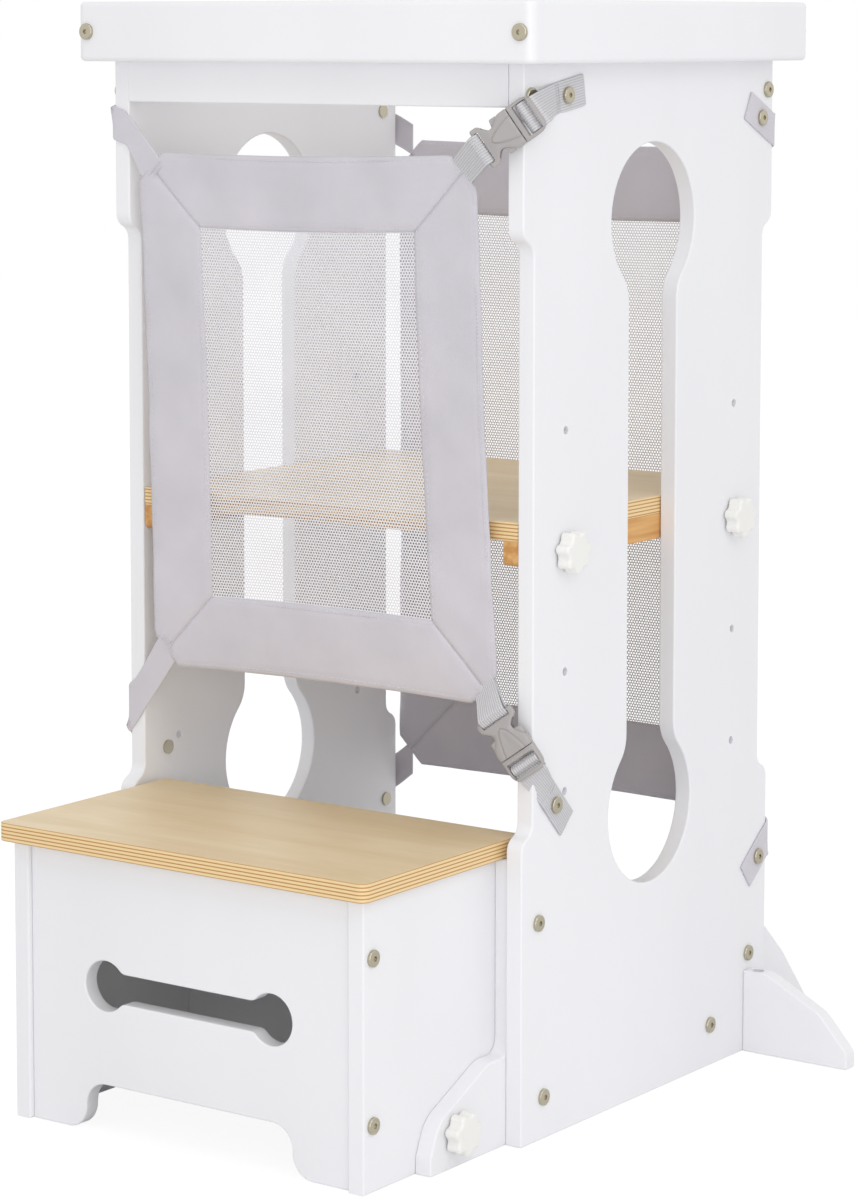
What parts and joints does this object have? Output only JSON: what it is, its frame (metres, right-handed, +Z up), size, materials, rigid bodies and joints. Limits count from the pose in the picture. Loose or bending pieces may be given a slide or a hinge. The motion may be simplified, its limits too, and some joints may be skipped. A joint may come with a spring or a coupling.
{
  "type": "toddler kitchen helper stool",
  "caption": "White wooden kitchen helper tower with a plywood step and standing platform, mesh safety nets held by webbing and side-release buckles, a top rim and outward feet.",
  "frame": {"origin": "bottom centre of the bounding box, on the floor", "axes": "+X to the tower's right seen from the step, +Y from the step to the back, +Z up"},
  "size_m": [0.615, 0.656, 0.9],
  "materials": {
    "white_paint": "satin",
    "plywood": "satin",
    "pine": "matte",
    "nickel": "satin",
    "knob": "matte",
    "fabric": "matte",
    "mesh": "matte",
    "webbing": "matte",
    "buckle": "matte"
  },
  "bodies": {
    "tower": {"side_panel_left": "white_paint", "side_panel_right": "white_paint", "rim_board_front": "white_paint", "rim_board_back": "white_paint", "rim_board_left": "white_paint", "rim_board_right": "white_paint", "top_rail_front": "white_paint", "top_rail_back": "white_paint", "lower_board_front": "white_paint", "lower_rail_back": "white_paint", "step_side_left": "white_paint", "step_side_right": "white_paint", "step_front_board": "white_paint", "step_plate_left": "white_paint", "step_plate_right": "white_paint", "side_foot_left": "white_paint", "side_foot_right": "white_paint", "back_foot_left": "white_paint", "back_foot_right": "white_paint", "step_top": "plywood", "rim_bolts": "nickel", "panel_bolts": "nickel", "step_bolts": "nickel", "strap_bolts": "nickel", "strap_sleeve_nuts": "nickel", "foot_bolts": "nickel", "foot_barrel_nuts": "nickel", "step_inserts": "nickel", "rear_net_border": "fabric", "rear_net_mesh": "mesh", "front_straps_left": "webbing", "front_tabs_right": "webbing", "rear_straps": "webbing", "buckle_plug_top": "buckle", "buckle_plug_low": "buckle"},
    "platform": {"platform_board": "plywood", "platform_cleat_left": "pine", "platform_cleat_right": "pine"},
    "front_net": {"front_net_border": "fabric", "front_net_mesh": "mesh", "net_webbing_loops": "webbing", "buckle_socket_top": "buckle", "buckle_socket_low": "buckle"},
    "stud_body_platform_left_front": {"stud_platform_left_front": "nickel"},
    "knob_body_platform_left_front": {"knob_platform_left_front": "knob"},
    "stud_body_platform_left_back": {"stud_platform_left_back": "nickel"},
    "knob_body_platform_left_back": {"knob_platform_left_back": "knob"},
    "stud_body_step_left": {"stud_step_left": "nickel"},
    "knob_body_step_left": {"knob_step_left": "knob"},
    "stud_body_platform_right_front": {"stud_platform_right_front": "nickel"},
    "knob_body_platform_right_front": {"knob_platform_right_front": "knob"},
    "stud_body_platform_right_back": {"stud_platform_right_back": "nickel"},
    "knob_body_platform_right_back": {"knob_platform_right_back": "knob"},
    "stud_body_step_right": {"stud_step_right": "nickel"},
    "knob_body_step_right": {"knob_step_right": "knob"},
    "prong_top_a": {"buckle_prong_top_a": "buckle"},
    "prong_top_b": {"buckle_prong_top_b": "buckle"},
    "prong_low_a": {"buckle_prong_low_a": "buckle"},
    "prong_low_b": {"buckle_prong_low_b": "buckle"}
  },
  "joints": [
    {"name": "platform_lift", "type": "slide", "parent": "tower", "child": "platform", "axis": [0, 0, 1], "range_m": [0, 0.096]},
    {"name": "front_net_swing", "type": "hinge", "parent": "tower", "child": "front_net", "pos_m": [-0.172, -0.1382, 0.3475], "axis": [0, 0.0306, -0.9995], "range_deg": [0, 110]},
    {"name": "stud_platform_left_front_out", "type": "slide", "parent": "tower", "child": "stud_body_platform_left_front", "axis": [-1, 0, 0], "range_m": [0, 0.0121]},
    {"name": "knob_platform_left_front_turn", "type": "hinge", "parent": "stud_body_platform_left_front", "child": "knob_body_platform_left_front", "pos_m": [-0.2135, -0.0905, 0.468], "axis": [-1, 0, 0], "range_deg": [0, 4320]},
    {"name": "stud_platform_left_back_out", "type": "slide", "parent": "tower", "child": "stud_body_platform_left_back", "axis": [-1, 0, 0], "range_m": [0, 0.0121]},
    {"name": "knob_platform_left_back_turn", "type": "hinge", "parent": "stud_body_platform_left_back", "child": "knob_body_platform_left_back", "pos_m": [-0.2135, 0.1655, 0.468], "axis": [-1, 0, 0], "range_deg": [0, 4320]},
    {"name": "stud_step_left_out", "type": "slide", "parent": "tower", "child": "stud_body_step_left", "axis": [-1, 0, 0], "range_m": [0, 0.0121]},
    {"name": "knob_step_left_turn", "type": "hinge", "parent": "stud_body_step_left", "child": "knob_body_step_left", "pos_m": [-0.1985, -0.2185, 0.028], "axis": [-1, 0, 0], "range_deg": [0, 4320]},
    {"name": "stud_platform_right_front_out", "type": "slide", "parent": "tower", "child": "stud_body_platform_right_front", "axis": [1, 0, 0], "range_m": [0, 0.0121]},
    {"name": "knob_platform_right_front_turn", "type": "hinge", "parent": "stud_body_platform_right_front", "child": "knob_body_platform_right_front", "pos_m": [0.2135, -0.0905, 0.468], "axis": [1, 0, 0], "range_deg": [0, 4320]},
    {"name": "stud_platform_right_back_out", "type": "slide", "parent": "tower", "child": "stud_body_platform_right_back", "axis": [1, 0, 0], "range_m": [0, 0.0121]},
    {"name": "knob_platform_right_back_turn", "type": "hinge", "parent": "stud_body_platform_right_back", "child": "knob_body_platform_right_back", "pos_m": [0.2135, 0.1655, 0.468], "axis": [1, 0, 0], "range_deg": [0, 4320]},
    {"name": "stud_step_right_out", "type": "slide", "parent": "tower", "child": "stud_body_step_right", "axis": [1, 0, 0], "range_m": [0, 0.0121]},
    {"name": "knob_step_right_turn", "type": "hinge", "parent": "stud_body_step_right", "child": "knob_body_step_right", "pos_m": [0.1985, -0.2185, 0.028], "axis": [1, 0, 0], "range_deg": [0, 4320]},
    {"name": "prong_top_a_press", "type": "hinge", "parent": "tower", "child": "prong_top_a", "pos_m": [0.20835, -0.15623, 0.79713], "axis": [-0.342, 0.9397, 0], "range_deg": [0, 6], "stiffness_Nm_per_rad": 0.05},
    {"name": "prong_top_b_press", "type": "hinge", "parent": "tower", "child": "prong_top_b", "pos_m": [0.19865, -0.15977, 0.81187], "axis": [0.342, -0.9397, 0], "range_deg": [0, 6], "stiffness_Nm_per_rad": 0.05},
    {"name": "prong_low_a_press", "type": "hinge", "parent": "tower", "child": "prong_low_a", "pos_m": [0.18887, -0.14489, 0.30961], "axis": [-0.2588, 0.9659, 0], "range_deg": [0, 6], "stiffness_Nm_per_rad": 0.05},
    {"name": "prong_low_b_press", "type": "hinge", "parent": "tower", "child": "prong_low_b", "pos_m": [0.20293, -0.14111, 0.32019], "axis": [0.2588, -0.9659, 0], "range_deg": [0, 6], "stiffness_Nm_per_rad": 0.05}
  ],
  "couplings": [
    {"joint": "stud_platform_left_front_out", "follows": "knob_platform_left_front_turn", "m_per_rad": 0.00015915},
    {"joint": "stud_platform_left_back_out", "follows": "knob_platform_left_back_turn", "m_per_rad": 0.00015915},
    {"joint": "stud_step_left_out", "follows": "knob_step_left_turn", "m_per_rad": 0.00015915},
    {"joint": "stud_platform_right_front_out", "follows": "knob_platform_right_front_turn", "m_per_rad": 0.00015915},
    {"joint": "stud_platform_right_back_out", "follows": "knob_platform_right_back_turn", "m_per_rad": 0.00015915},
    {"joint": "stud_step_right_out", "follows": "knob_step_right_turn", "m_per_rad": 0.00015915}
  ]
}
